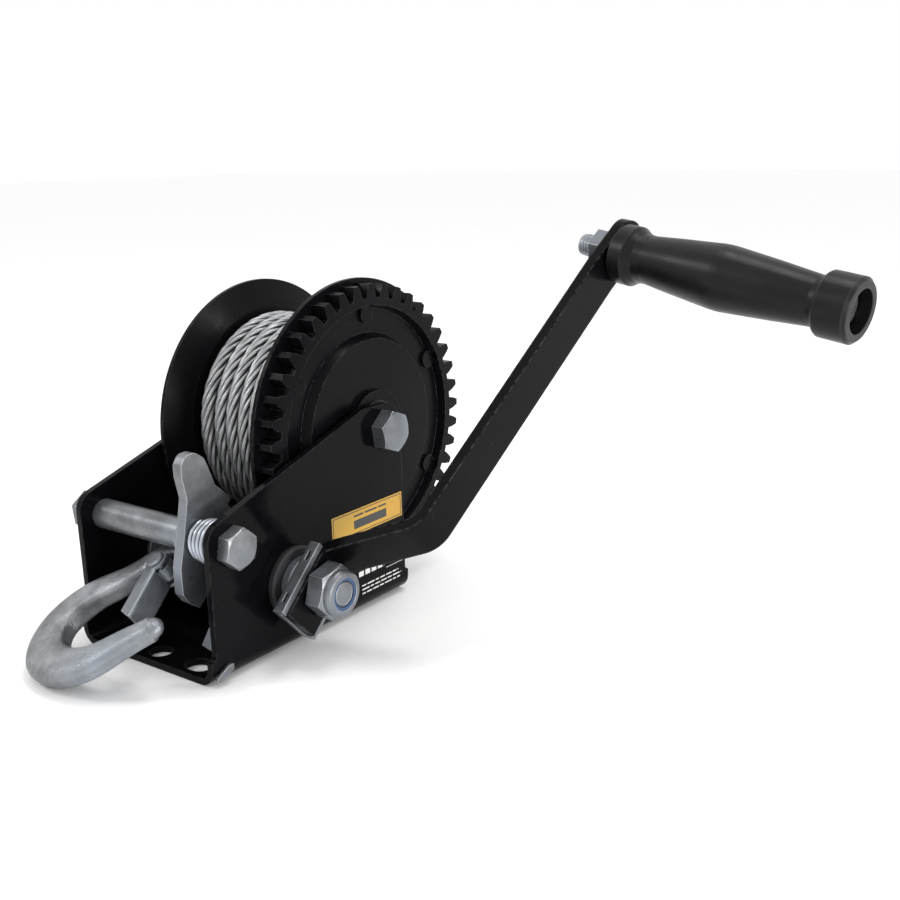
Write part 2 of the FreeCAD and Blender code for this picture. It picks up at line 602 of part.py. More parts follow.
# ---------------------------------------------------------------- pinion shaft
def make_pinion_shaft():
    shaft = [("shaft_left", "0"), ("shaft_left", "journal - 1"), ("shaft_left + 1", "journal"),
             ("-(inner_width / 2 - bush_flange_x - 0.3)", "journal"),
             ("-(inner_width / 2 - bush_flange_x - 0.3)", "shaft_body"),
             ("pinion_out", "shaft_body"), ("pinion_out", "journal"), ("collar_out", "journal"),
             ("collar_out", "stud_radius"), ("stud_end - 1", "stud_radius"),
             ("stud_end", "stud_radius - 1"), ("stud_end", "0")]
    turned("pinion_shaft", shaft, PINION)
    inner, outer = f"-({PLATE_IN})", f"-({PLATE_OUT})"
    left = [(outer, "journal + 0.05"), (outer, "bush_wall"), (inner, "bush_wall"),
            (inner, "bush_flange"), (f"{inner} + bush_flange_x", "bush_flange"),
            (f"{inner} + bush_flange_x", "journal + 0.05")]
    turned("bush_left", left, PINION)
    right = [(PLATE_IN, "journal + 0.05"), (PLATE_IN, "bush_wall"),
             (PLATE_OUT, "bush_wall"), (PLATE_OUT, "ring_radius"),
             ("ring_out - 0.8", "ring_radius"), ("ring_out", "ring_radius - 0.8"),
             ("ring_out", "journal + 0.05")]
    turned("bush_right", right, PINION)
    collar = [("ring_out + 0.3", "journal"), ("ring_out + 0.3", "collar_radius - 0.6"),
              ("ring_out + 0.9", "collar_radius"), ("collar_out - 0.6", "collar_radius"),
              ("collar_out", "collar_radius - 0.6"), ("collar_out", "journal")]
    turned("shaft_collar", collar, PINION)
    clip = [("-(inner_width / 2 + sheet + 1.2)", "journal - 0.6"),
            ("-(inner_width / 2 + sheet + 1.2)", "journal + 3"),
            ("-(inner_width / 2 + sheet + 0.2)", "journal + 3"),
            ("-(inner_width / 2 + sheet + 0.2)", "journal - 0.6")]
    ring = turned("circlip_blank", clip, PINION, kept=False)
    gap = doc.addObject("Part::Box", "circlip_gap")
    bind(gap, Length="4", Width="5", Height="20", Base_x="-(inner_width / 2 + sheet + 3)",
         Base_y="pinion_y - 2.5", Base_z="pinion_z + 2")
    groove = rod("circlip_groove", "-(inner_width / 2 + sheet + 3)", "4", "journal", PINION)
    cut("shaft_circlip", ring, [gap, groove])


# ---------------------------------------------------------------- crank
def crank_placement(z=0.0):
    """The crank's own frame: x along the arm, y across it, and z out along the shaft."""
    angle = math.radians(number("crank_angle"))
    along = V(0, math.cos(angle), math.sin(angle))
    across = V(0, -math.sin(angle), math.cos(angle))
    turn = FreeCAD.Rotation(along, across, V(1, 0, 0), "XYZ")
    return FreeCAD.Placement(V(z, number("pinion_y"), number("pinion_z")), turn)


def bent_strip(points, bends, thickness, width):
    """Flat bar that follows points in the xz plane, its inner face on them, with round bends.

    Each corner has its own bend radius, that of the bar's middle. The width lies along y.
    """
    edges = []
    trimmed = [points[0]]
    for before, corner, after, bend in zip(points, points[1:], points[2:], bends):
        arrive = (corner - before).normalize()
        leave = (after - corner).normalize()
        turn = arrive.getAngle(leave)
        reach = bend * math.tan(turn / 2)
        start, end = corner - arrive * reach, corner + leave * reach
        inward = (leave - arrive).normalize()
        centre = corner + inward * (bend / math.cos(turn / 2))
        middle = centre + (corner - centre).normalize() * bend
        edges.append(Part.LineSegment(trimmed[-1], start).toShape())
        edges.append(Part.Arc(start, middle, end).toShape())
        trimmed.append(end)
    edges.append(Part.LineSegment(trimmed[-1], points[-1]).toShape())
    path = Part.Wire(edges)
    forward = (points[1] - points[0]).normalize()
    side = V(0, 1, 0)
    up = forward.cross(side) * -1
    low = points[0] - side * (width / 2) - up * (thickness / 2)
    corners = [low, low + side * width, low + side * width + up * thickness, low + up * thickness]
    section = Part.Wire(Part.makePolygon(corners + [corners[0]]))
    return path.makePipeShell([section], True, False, 2)


def arm_points():
    """The middle line of the crank arm in the crank's own frame."""
    half = number("arm_sheet") / 2
    low = number("collar_out + bracket_sheet") + half
    bend_b = V(number("arm_bend_b"), 0, number("arm_out"))
    lean, tip_lean = math.radians(number("arm_lean")), math.radians(number("arm_tip_lean"))
    along = V(math.cos(lean), 0, math.sin(lean))
    tip_along = V(math.cos(tip_lean), 0, math.sin(tip_lean))
    tip = number("arm_tip")
    last = bend_b + along * (number("arm_long") - tip)
    return [V(number("arm_back"), 0, low), V(number("arm_bend_a"), 0, low), bend_b, last,
            last + tip_along * tip]


def arm_end():
    """The arm's last straight: the grip hole's centre, its direction and its outward normal."""
    points = arm_points()
    along = (points[4] - points[3]).normalize()
    hole = points[4] - along * number("arm_long - arm_hole")
    return hole, along, V(-along.z, 0, along.x)


def grip_placement():
    """The grip's own frame: z along the grip, out from the arm's outer face."""
    hole, along, out = arm_end()
    start = hole + out * (number("arm_sheet") / 2)
    turn = FreeCAD.Rotation(out, V(0, 1, 0), along * -1, "XYZ")
    return crank_placement().multiply(FreeCAD.Placement(start, turn))


def make_crank():
    arm = bent_strip(arm_points(), (8, 13, 60), number("arm_sheet"), number("arm_width"))
    points = arm_points()
    hole, along, out = arm_end()
    radius = number("arm_width") / 2
    end_mask = end_rounding(points[-1], along, out, radius)
    arm = arm.cut(end_mask)
    arm = arm.cut(Part.makeCylinder(number("stud_radius") + 0.1, 30, V(0, 0, number("collar_out")), V(0, 0, 1)))
    arm = arm.cut(Part.makeCylinder(number("shank10") + 0.1, 40, hole - out * 20, out))
    arm.Placement = crank_placement()
    feature("crank_arm", arm)
    make_bracket()
    stud_start = "collar_out + bracket_sheet + arm_sheet"
    washer("crank_washer", stud_start, "washer_sheet", "hex12 - 0.3", "stud_radius + 0.2",
           PINION)
    start = number(f"{stud_start} + washer_sheet")
    dome = Part.makeCylinder(number("hex14") - 0.3, 12.4)
    dome = dome.makeFillet(2.2, [e for e in dome.Edges if e.BoundBox.ZMin > 12])
    nut = hex_prism(number("hex14"), 8.6).fuse(dome)
    nut = nut.cut(Part.makeCylinder(number("stud_radius"), 14, V(0, 0, -1)))
    nut = nut.cut(Part.makeCylinder(number("stud_radius") + 1.3, 3.0, V(0, 0, 9.4)))
    feature("crank_nut", stand_nut(nut, start))
    ring = Part.makeCylinder(number("stud_radius") + 1.25, 2.6, V(0, 0, 9.45))
    ring = ring.cut(Part.makeCylinder(number("stud_radius") + 0.02, 6, V(0, 0, 8)))
    feature("crank_nut_insert", stand_nut(ring, start))


def stand_nut(shape, start):
    place = crank_placement(z=start)
    shape.Placement = place.multiply(FreeCAD.Placement(V(0, 0, 0), FreeCAD.Rotation(V(0, 0, 1), 30)))
    return shape


def end_rounding(end, along, out, radius):
    """What to cut off a bar's end to leave it a half circle as wide as the bar."""
    block = Part.makeBox(radius + 2, 2 * radius + 4, 40, V(0, -radius - 2, -20))
    block = block.cut(Part.makeCylinder(radius, 50, V(0, 0, -25)))
    turn = FreeCAD.Rotation(along, out.cross(along), out, "XYZ")
    block.Placement = FreeCAD.Placement(end - along * radius, turn)
    return block


def make_bracket():
    """A channel that hugs the arm: web against the shaft's collar and a flange each side."""
    body = new_body("crank_bracket")
    body.Placement = crank_placement()
    sketch = new_sketch(body, "YZ_Plane", "bracket_back")
    half, wall = "bracket_wide / 2", "bracket_sheet"
    low, top = "collar_out", "bracket_out"
    add_polygon(sketch, [(f"-{half}", low), (half, low), (half, top), (f"{half} - {wall}", top),
                         (f"{half} - {wall}", f"{low} + {wall}"),
                         (f"-{half} + {wall}", f"{low} + {wall}"), (f"-{half} + {wall}", top),
                         (f"-{half}", top)])
    pad = add_pad(body, sketch, "bracket_front - bracket_back")
    doc.recompute()
    level = number(low)
    names = [f"Edge{i}" for i, edge in enumerate(pad.Shape.Edges, start=1)
             if edge.BoundBox.XLength > 30 and abs(edge.BoundBox.ZMin - level) < 0.01]
    fillet = body.newObject("PartDesign::Fillet", "bracket_bends")
    fillet.Base = (pad, names)
    fillet.Radius = 2.6
    doc.recompute()
    bore = new_sketch(body, "XY_Plane")
    add_circle(bore, "0", "0", "stud_radius + 0.1")
    add_pocket(body, bore)
    sides = new_sketch(body, "XZ_Plane")
    for spot in ("bracket_back + 4.5", "bracket_front - 4.5 - bracket_slot"):
        add_polygon(sides, [(spot, "bracket_out - 3.2"), (f"{spot} + bracket_slot", "bracket_out - 3.2"),
                            (f"{spot} + bracket_slot", "bracket_out - 1.6"), (spot, "bracket_out - 1.6")])
    add_pocket(body, sides)


# ---------------------------------------------------------------- grip
def make_grip():
    """The loose-turning plastic grip and the bolt it turns on."""
    place = grip_placement()
    profile = [("grip_start", "grip_bore"), ("grip_start", "grip_collar - 0.8"),
               ("grip_start + 0.8", "grip_collar"), ("grip_start + 7.5", "grip_collar"),
               ("grip_start + 9", "grip_collar - 1"), ("grip_start + 12", "grip_neck + 0.3"),
               ("grip_start + 16", "grip_neck"), ("grip_start + 30", "grip_neck + 1.5"),
               ("grip_start + 52", "grip_belly - 0.1"), ("grip_start + 55", "grip_belly"),
               ("grip_start + 58", "grip_belly - 0.1"), ("grip_start + 80", "grip_taper + 1.9"),
               ("grip_length - 19", "grip_taper"), ("grip_length - 16.5", "grip_taper + 0.3"),
               ("grip_length - 15.5", "grip_cap - 0.6"), ("grip_length - 14.5", "grip_cap"),
               ("grip_length - 1.5", "grip_cap"), ("grip_length", "grip_cap - 1.5"),
               ("grip_length", "grip_recess"), ("grip_length - recess_deep", "grip_recess"),
               ("grip_length - recess_deep", "grip_bore")]
    body = turned("grip", profile)
    body.setExpression("Placement.Base.y", None)
    body.setExpression("Placement.Base.z", None)
    body.Placement = place
    top = number("grip_length - recess_deep")
    back = -number("arm_sheet + washer_sheet + nut10 + 7")
    lift = FreeCAD.Rotation(V(0, 1, 0), 90)
    shank = Part.makeCylinder(number("shank10"), top - back, V(back, 0, 0), V(1, 0, 0))
    head = hex_prism(number("hex10"), number("head10") - 0.4)
    head.Placement = FreeCAD.Placement(V(top + 0.4, 0, 0), lift)
    tip = Part.makeCylinder(number("shank10"), 1, V(top - 0.6, 0, 0), V(1, 0, 0))
    bolt = shank.fuse([head, tip]).removeSplitter()
    bolt.Placement = place
    feature("grip_bolt", bolt)
    gap = Part.makeCylinder(number("washer10"), 1.4, V(0.05, 0, 0), V(1, 0, 0))
    gap = gap.cut(Part.makeCylinder(number("shank10") + 0.1, 4, V(-1, 0, 0), V(1, 0, 0)))
    gap.Placement = place
    feature("grip_washer", gap)
    nut = hex_prism(number("hex10"), number("nut10"))
    nut = nut.cut(Part.makeCylinder(number("shank10"), 20, V(0, 0, -5)))
    nut.Placement = FreeCAD.Placement(V(-number("arm_sheet + nut10"), 0, 0), lift)
    moved = Part.Compound([nut])
    moved.Placement = place
    feature("grip_nut", moved.Solids[0])


def hex_prism(half_flats, height):
    """A hexagonal prism up Z, its corners chamfered at the top as a bolt head's are."""
    reach = 2 * half_flats / math.sqrt(3)
    points = [V(reach * math.cos(math.radians(60 * k)), reach * math.sin(math.radians(60 * k)), 0)
              for k in range(7)]
    prism = Part.Face(Part.makePolygon(points)).extrude(V(0, 0, height))
    turned_end = Part.makeCone(reach + 5, half_flats * 0.96, (reach + 5 - half_flats * 0.96) * 0.5)
    turned_end.translate(V(0, 0, height - (reach + 5 - half_flats * 0.96) * 0.5))
    below = Part.makeCylinder(reach + 5, height, V(0, 0, -(reach + 5 - half_flats * 0.96) * 0.5))
    return prism.common(turned_end.fuse(below))


# ---------------------------------------------------------------- pawl
def make_pawl():
    """The reversible pawl: thumb tab on top, a tooth above and one below the ratchet."""
    body = new_body("pawl")
    bind(body, Base_y=TIE[0], Base_z=TIE[1])
    sketch = new_sketch(body, "YZ_Plane", "pawl_in")
    corners = [("-4.3", "-30.1"), ("1.7", "-24.6"), ("7.4", "-23.5"), ("5.2", "-17"),
               ("8.4", "-9.8"), ("10.6", "-4.5"), ("17", "-2.2"), ("26.1", "0"),
               ("23.5", "5.2"), ("18.6", "6.9"), ("15.9", "10.9"), ("17.5", "12.8"),
               ("16.4", "15.2"), ("9.7", "21.4"), ("6.8", "29.5"), ("4.6", "34.6"),
               ("0", "38"), ("-5", "37.6"), ("-8", "33.8"), ("-7.9", "28.5"), ("-6.1", "19"),
               ("-8.6", "6.5"), ("-10.6", "-2"), ("-12.6", "-10"), ("-12.7", "-21.6"),
               ("-9.6", "-26")]
    add_polygon(sketch, corners)
    add_circle(sketch, "0", "0", "tube_outer + pawl_play")
    pad = add_pad(body, sketch, "pawl_out - pawl_in")
    doc.recompute()
    names = [f"Edge{i}" for i, edge in enumerate(pad.Shape.Edges, start=1)
             if edge.BoundBox.XLength > 4 and edge.BoundBox.ZMin > 33]
    crown = body.newObject("PartDesign::Fillet", "pawl_crown")
    crown.Base = (pad, names)
    crown.Radius = 3.6
    doc.recompute()
    small, large, wire = "spring_small", "spring_large", "spring_wire"
    start, end = "pawl_out + spring_gap", f"({PLATE_IN}) - spring_gap"
    cone = [(start, f"{small} - {wire}"), (start, small), (end, large), (end, f"{large} - {wire}")]
    turned("pawl_spring", cone, TIE)
    clip = [("pawl_in - 1.9", "tube_outer + 0.05"), ("pawl_in - 1.9", "tube_outer + 2.6"),
            ("pawl_in - 0.4", "tube_outer + 2.6"), ("pawl_in - 0.4", "tube_outer + 0.05")]
    turned("pawl_washer", clip, TIE)


# ---------------------------------------------------------------- hook
# The hook's flat lies on a slope, tilted towards the front: x along its width, y up the
# shank, z out of its upper flat, and the origin at the eye's centre.
HOOK_NORMAL = V(-0.19, -0.527, 0.828)
# across, up the shank, half width in the flat, half thickness
HOOK_SECTIONS = [
    (-1.6, -7.4, 4.2, 3.2), (-3.9, -12.0, 5.0, 3.7), (-6.3, -18.5, 5.6, 3.9),
    (-9.2, -26.5, 6.2, 4.3), (-14.2, -34.5, 7.2, 4.6), (-20.6, -43.0, 8.2, 4.9),
    (-24.8, -53.6, 9.2, 5.3), (-23.9, -65.5, 9.8, 5.5), (-14.6, -74.6, 9.9, 5.5),
    (-2.0, -76.6, 9.4, 5.4), (9.6, -73.2, 8.7, 5.2), (20.2, -65.2, 7.7, 5.0),
    (27.0, -54.4, 6.6, 4.7), (32.6, -44.6, 5.6, 4.3), (36.6, -38.4, 5.2, 4.2),
]
LATCH_PIVOT = V(5.8, -16.8, 0)
LATCH_ALONG = V(0.562, -0.827, 0)
LATCH_LENGTH = 31.0


def hook_placement():
    across = V(0, 0, 1).cross(HOOK_NORMAL).normalize()
    normal = V(HOOK_NORMAL).normalize()
    turn = FreeCAD.Rotation(across, normal.cross(across), normal, "XYZ")
    return FreeCAD.Placement(V(number("eye_x"), number("eye_y"), number("eye_z")), turn)


def flat_ring(centre, along, half_wide, half_thick):
    """A rounded, flattened section across a bar that runs along this direction."""
    side = V(along.y, -along.x, 0).normalize()
    up = V(0, 0, 1)
    flat = 0.42
    points = []
    for turn in range(0, 360, 30):
        cos, sin = math.cos(math.radians(turn)), math.sin(math.radians(turn))
        wide = math.copysign(abs(cos) ** (1 - flat), cos) * half_wide
        thick = math.copysign(abs(sin) ** (1 - flat), sin) * half_thick
        points.append(centre + side * wide + up * thick)
    curve = Part.BSplineCurve()
    curve.interpolate(points, PeriodicFlag=True)
    return Part.Wire(curve.toShape())


def make_hook():
    """A forged hook: an eye, a shank with the latch's lug, and a bowl that thins to its point."""
    centres = [V(a, b, 0) for a, b, _, _ in HOOK_SECTIONS]
    rings = []
    for k, (_, _, wide, thick) in enumerate(HOOK_SECTIONS):
        before = centres[max(k - 1, 0)]
        after = centres[min(k + 1, len(centres) - 1)]
        rings.append(flat_ring(centres[k], after - before, wide, thick))
    bar = Part.makeLoft(rings, True, False)
    last = HOOK_SECTIONS[-1]
    along = (centres[-1] - centres[-2]).normalize()
    point = Part.makeSphere(1)
    stretch = FreeCAD.Matrix()
    stretch.scale(last[2] * 0.98, last[2] * 0.98, last[3] * 0.98)
    point = point.transformGeometry(stretch)
    point.translate(centres[-1] - along * 0.4)
    middle = number("(eye_hole + eye_outer) / 2")
    eye = Part.makeTorus(middle, number("(eye_outer - eye_hole) / 2"))
    lug = Part.makeCylinder(5.2, 6.4, LATCH_PIVOT - V(0, 0, 3.2))
    neck = Part.makeBox(13, 9.4, 6.4, V(-7, -21.5, -3.2))
    bore = Part.makeCylinder(number("eye_hole"), 20, V(0, 0, -10))
    body = bar.cut(bore).fuse([eye, point, lug, neck])
    body = body.cut(Part.makeCylinder(number("latch_pin"), 30, LATCH_PIVOT - V(0, 0, 15)))
    body = body.removeSplitter()
    body.Placement = hook_placement()
    feature("hook", body)


def latch_placement():
    """The latch's own frame: x along it from the rivet, z out of the hook's flat."""
    turn = FreeCAD.Rotation(LATCH_ALONG, V(0, 0, 1).cross(LATCH_ALONG), V(0, 0, 1), "XYZ")
    return hook_placement().multiply(FreeCAD.Placement(LATCH_PIVOT, turn))


def make_latch():
    """The spring latch: a folded channel on a rivet through the hook's lug."""
    half, wall = number("latch_wide"), number("latch_sheet")
    web = 2.2
    outer = Part.makeBox(LATCH_LENGTH + 5.5, web + 4.2, 2 * half, V(-5.5, -4.2, -half))
    folds = [edge for edge in outer.Edges if edge.BoundBox.XLength > 20
             and edge.BoundBox.YMin > web - 0.1]
    outer = outer.makeFillet(2.0, folds)
    inner = Part.makeBox(LATCH_LENGTH + 30, web + 4.2, 2 * (half - wall),
                         V(-15, -4.2 - wall, -half + wall))
    folds = [edge for edge in inner.Edges if edge.BoundBox.XLength > 20
             and edge.BoundBox.YMin > web - wall - 0.1]
    inner = inner.makeFillet(0.9, folds)
    channel = outer.cut(inner)
    channel = channel.cut(Part.makeBox(12, 20, 2 * (half - wall), V(-6, -10, -half + wall)))
    for low in (-half, half - wall):
        channel = channel.fuse(Part.makeCylinder(5.2, wall, V(0, 0, low)))
    slant = Part.makeBox(12, 20, 30, V(0, -20, -15))
    slant.rotate(V(0, 0, 0), V(0, 0, 1), -32)
    slant.translate(V(LATCH_LENGTH, web - 1, 0))
    channel = channel.cut(slant)
    channel = channel.cut(Part.makeCylinder(number("latch_pin") + 0.05, 30, V(0, 0, -15)))
    channel.Placement = latch_placement()
    feature("hook_latch", channel)
    stem = Part.makeCylinder(number("latch_pin"), 2 * half + 1, V(0, 0, -half - 0.5))
    rivet = stem
    for side in (1, -1):
        head = Part.makeCylinder(4.1, 1.3, V(0, 0, half + 0.1))
        rim = [edge for edge in head.Edges if edge.BoundBox.ZMin > half + 1]
        head = head.makeFillet(0.9, rim)
        if side < 0:
            head.rotate(V(0, 0, 0), V(1, 0, 0), 180)
        rivet = rivet.fuse(head)
    rivet.Placement = latch_placement()
    feature("latch_rivet", rivet)
    wire = 0.45
    coil = Part.makeTorus(2.9, wire, V(0, 0, 4.4)).fuse(Part.makeTorus(2.9, wire, V(0, 0, 3.85)))
    leg = Part.makeCylinder(wire, 15, V(0, -2.9, 4.4), V(1, 0.06, 0))
    other = Part.makeCylinder(wire, 5, V(0, 2.9, 3.85), V(1, 0.05, 0))
    spring = coil.fuse([leg, other])
    spring.Placement = latch_placement()
    feature("latch_spring", spring)


# ---------------------------------------------------------------- cable end
# The free run from under the drum to the ferrule, in the plane of the hook's eye: (y, z).
CABLE_ROUTE = [(31.0, 34.2), (12.0, 39.0), (-4.0, 49.0)]


def route_points():
    x = number("eye_x")
    loop = V(x, number("loop_y"), number("loop_z"))
    last = V(x, *CABLE_ROUTE[-1])
    toward = (loop - last).normalize()
    return [V(x, y, z) for y, z in CABLE_ROUTE] + [last + toward * 4.0], toward


def round_route(points):
    """Straight runs joined by tangent arcs as large as the runs allow."""
    edges = []
    begin = points[0]
    for before, corner, after in zip(points, points[1:], points[2:]):
        arrive, leave = corner - before, after - corner
        turn = arrive.getAngle(leave)
        radius = 0.45 * min(arrive.Length, leave.Length) / math.tan(turn / 2)
        reach = radius * math.tan(turn / 2)
        arrive.normalize()
        leave.normalize()
        start, end = corner - arrive * reach, corner + leave * reach
        inward = (leave - arrive).normalize()
        centre = corner + inward * (radius / math.cos(turn / 2))
        middle = centre + (corner - centre).normalize() * radius
        edges.append(Part.LineSegment(begin, start).toShape())
        edges.append(Part.Arc(start, middle, end).toShape())
        print(f"cable bend: turn {math.degrees(turn):.0f} deg, radius {radius:.1f} mm")
        begin = end
    edges.append(Part.LineSegment(begin, points[-1]).toShape())
    return Part.Wire(edges)


def make_cable():
    """The cable's free run, its ferrule, and the loop round a thimble in the hook's eye."""
    radius = number("cable") / 2
    points, _ = route_points()
    points = points[:-1]
    path = round_route(points)
    section = Part.Wire(Part.Circle(points[0], points[1] - points[0], radius).toShape())
    tube = path.makePipeShell([section], True, False)
    whole = math.pi * radius ** 2 * path.Length
    print(f"cable: {path.Length:.1f} mm long, volume {tube.Volume:.0f} against {whole:.0f}")
    feature("cable_tail", tube)
    x = number("eye_x")
    loop = V(x, number("loop_y"), number("loop_z"))
    end = points[-1]
    toward = (loop - end).normalize()
    sleeve = 11.5
    normal = toward.cross(V(1, 0, 0)).normalize()
    ferrule = Part.makeCylinder(radius + 1.9, sleeve, end, toward)
    rims = [edge for edge in ferrule.Edges if edge.Length > 6 and edge.BoundBox.XLength > 2]
    ferrule = ferrule.makeFillet(0.8, rims)
    ferrule = ferrule.cut(Part.makeCylinder(radius, sleeve + 2, end - toward, toward))
    ferrule = ferrule.cut(tube)
    feature("cable_ferrule", ferrule)
    start = end + toward * sleeve
    size = number("loop_radius")
    reach = (loop - start).Length
    lean = math.acos(size / reach)
    back = toward * -1
    touch = [loop + (back * math.cos(lean) + normal * math.sin(lean) * sign) * size
             for sign in (1, -1)]
    far = loop + toward * size
    bow = Part.Arc(touch[0], far, touch[1]).toShape()
    arc_tube = Part.Wire([bow]).makePipeShell([Part.Wire(Part.Circle(
        touch[0], bow.tangentAt(bow.FirstParameter), radius).toShape())], True, False)
    legs = [Part.makeCylinder(radius, (spot - start).Length, start, spot - start)
            for spot in touch]
    knot = Part.makeSphere(radius, start)
    rope = arc_tube.fuse(legs + [knot] + [Part.makeSphere(radius, spot) for spot in touch])
    keep_out = Part.makeCylinder(radius + 2.5, sleeve, end, toward)
    rope = rope.cut(keep_out)
    feature("cable_loop", rope)
    thimble = Part.makeTorus(size - radius * 0.55, 1.9, loop, V(1, 0, 0))
    thimble = thimble.cut(rope)
    feature("cable_thimble", max(thimble.Solids, key=lambda solid: solid.Volume))


# ---------------------------------------------------------------- small trim
def make_trim():
    plate = number(PLATE_OUT)
    label = Part.makeBox(number("label_sheet"), 51.5, 12.4, V(plate, 10.6, 40.5))
    feature("rating_label", label)
    tab = [(27.3, 12.6), (32.8, 22), (38.5, 22), (39.2, 8.2), (44.7, 8.2), (44.7, 5.6),
           (38.8, 5.6), (34.5, 11)]
    back = -57.7
    outline = [V(x, back, z) for x, z in tab]
    inside = Part.Face(Part.makePolygon(outline + outline[:1])).extrude(V(0, 1.6, 0))
    bar = [(-56.1, 8.2), (-56.1, 5.6), (-64.6, 2.4), (-65.6, 3.6), (-64.9, 5), (-58.6, 8.2)]
    outline = [V(43.3, y, z) for y, z in bar]
    outside = Part.Face(Part.makePolygon(outline + outline[:1])).extrude(V(1.4, 0, 0))
    strip = inside.fuse(outside).removeSplitter()
    feature("frame_clip", strip)


make_frame()
make_axle_and_tie()
make_drum()
make_pinion_shaft()
make_pinion()
make_ratchet()
make_crank()
make_grip()
make_pawl()
make_hook()
make_latch()
make_cable()
make_trim()

doc.recompute()
for item in doc.Objects:
    if "Invalid" in item.State or "Error" in item.State:
        raise RuntimeError(f"{item.Label} did not recompute: {item.State}")

os.makedirs("parts", exist_ok=True)
for item in SUBPARTS:
    shape = item.Shape
    if shape.isNull() or not shape.isValid():
        raise RuntimeError(f"{item.Label} has no valid shape")
    solids = len(shape.Solids)
    print(f"{item.Label}: {solids} solid(s), {shape.Volume / 1000:.2f} cm3")
    shape.exportStep(f"parts/{item.Label}.step")
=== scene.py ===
"""The looks of a boat trailer winch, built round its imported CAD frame. Metres, Z up."""

import json
import math
import random
import bpy
from mathutils import Matrix, Vector


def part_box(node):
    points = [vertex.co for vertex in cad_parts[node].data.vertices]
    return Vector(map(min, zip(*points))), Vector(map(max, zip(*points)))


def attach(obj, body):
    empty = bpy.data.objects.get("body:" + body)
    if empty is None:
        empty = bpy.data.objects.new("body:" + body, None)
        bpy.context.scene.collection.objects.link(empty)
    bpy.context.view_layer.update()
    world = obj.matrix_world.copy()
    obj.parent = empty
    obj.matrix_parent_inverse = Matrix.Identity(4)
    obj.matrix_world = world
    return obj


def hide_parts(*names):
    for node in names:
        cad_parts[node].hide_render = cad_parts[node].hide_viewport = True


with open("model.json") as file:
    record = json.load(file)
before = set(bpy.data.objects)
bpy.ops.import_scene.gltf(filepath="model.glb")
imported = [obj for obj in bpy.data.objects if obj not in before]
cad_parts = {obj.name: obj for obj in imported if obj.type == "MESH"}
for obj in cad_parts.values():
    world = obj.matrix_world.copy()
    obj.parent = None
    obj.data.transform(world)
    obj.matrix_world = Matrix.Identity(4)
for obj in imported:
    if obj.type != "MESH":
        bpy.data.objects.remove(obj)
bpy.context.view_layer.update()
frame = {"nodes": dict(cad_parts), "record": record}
record = frame["record"]
nodes = frame["nodes"]
MM = 0.001
TURN = 2 * math.pi
X_AXIS = Vector((1, 0, 0))


def mm(*values):
    return Vector(values) * MM


# ---------------------------------------------------------------- camera
CAMERA_PLACE = mm(377.1, -351.4, 216.6)
CAMERA_RIGHT = Vector((0.8132, 0.5815, -0.0205))
CAMERA_UP = Vector((-0.1383, 0.2274, 0.9638))
SENSOR_WIDTH = 36
FOCAL_LENGTH = 44.85
LENS_SHIFT = (-0.0079, 0.0062)


def add_camera():
    lens = bpy.data.cameras.new("camera")
    lens.sensor_width = SENSOR_WIDTH
    lens.lens = FOCAL_LENGTH
    lens.shift_x, lens.shift_y = LENS_SHIFT
    lens.clip_start = 0.01
    camera = bpy.data.objects.new("camera", lens)
    back = CAMERA_RIGHT.cross(CAMERA_UP)
    turn = Matrix((CAMERA_RIGHT, CAMERA_UP, back)).transposed()
    camera.matrix_world = Matrix.Translation(CAMERA_PLACE) @ turn.to_4x4()
    bpy.context.collection.objects.link(camera)
    bpy.context.scene.camera = camera


add_camera()


# ---------------------------------------------------------------- mesh helpers
def add_mesh(name, verts, faces, uvs=None, smooth=True):
    """uvs holds one pair for each corner of each face, in the faces' order."""
    mesh = bpy.data.meshes.new(name)
    mesh.from_pydata([tuple(v) for v in verts], [], faces)
    if uvs:
        layer = mesh.uv_layers.new(name="lay")
        flat = [value for pair in uvs for value in pair]
        layer.data.foreach_set("uv", flat)
    mesh.polygons.foreach_set("use_smooth", [smooth] * len(mesh.polygons))
    mesh.update()
    piece = bpy.data.objects.new(name, mesh)
    bpy.context.collection.objects.link(piece)
    return piece


def axes_along(path, first=None):
    """A tangent, a normal and a binormal at each point, carried along the path without twist."""
    tangents = []
    for i in range(len(path)):
        before = path[max(i - 1, 0)]
        after = path[min(i + 1, len(path) - 1)]
        tangents.append((after - before).normalized())
    normal = first or tangents[0].orthogonal()
    frames = []
    for tangent in tangents:
        normal = (normal - tangent * normal.dot(tangent)).normalized()
        frames.append((tangent, normal, tangent.cross(normal)))
    return frames


# a rope's strands and core, as parts of a third of its radius
STRAND_REACH = 1.95
STRAND_SIZE = 1.06
CORE_SIZE = 1.3
# how many wires show round a strand, and how fast they turn as they run along it
WIRES_ROUND = 9
WIRE_TWIST = -160


